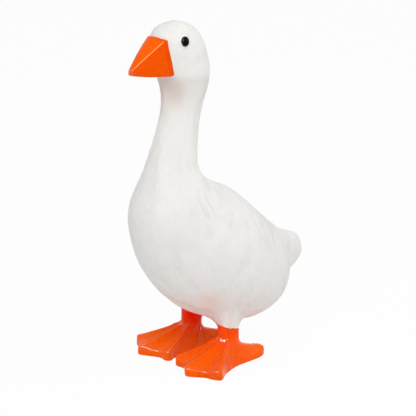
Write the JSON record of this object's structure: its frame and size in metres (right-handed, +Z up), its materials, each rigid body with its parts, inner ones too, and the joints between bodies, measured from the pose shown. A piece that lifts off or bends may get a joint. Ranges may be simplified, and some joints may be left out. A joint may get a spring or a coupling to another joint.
{
  "type": "goose figurine",
  "caption": "Standing goose ornament with a long neck, a faceted beak, a rounded body and flat webbed feet, and small bead eyes.",
  "frame": {"origin": "on the floor, under the centre of the figure's bounding box", "axes": "+Z up, the goose faces -Y, its left side is +X"},
  "size_m": [0.1774, 0.2628, 0.4329],
  "materials": {
    "white_paint": "satin",
    "orange_enamel": "gloss",
    "black_bead": "gloss"
  },
  "bodies": {
    "root": {"goose": "white_paint", "eye_left": "black_bead", "eye_right": "black_bead"}
  },
  "joints": []
}
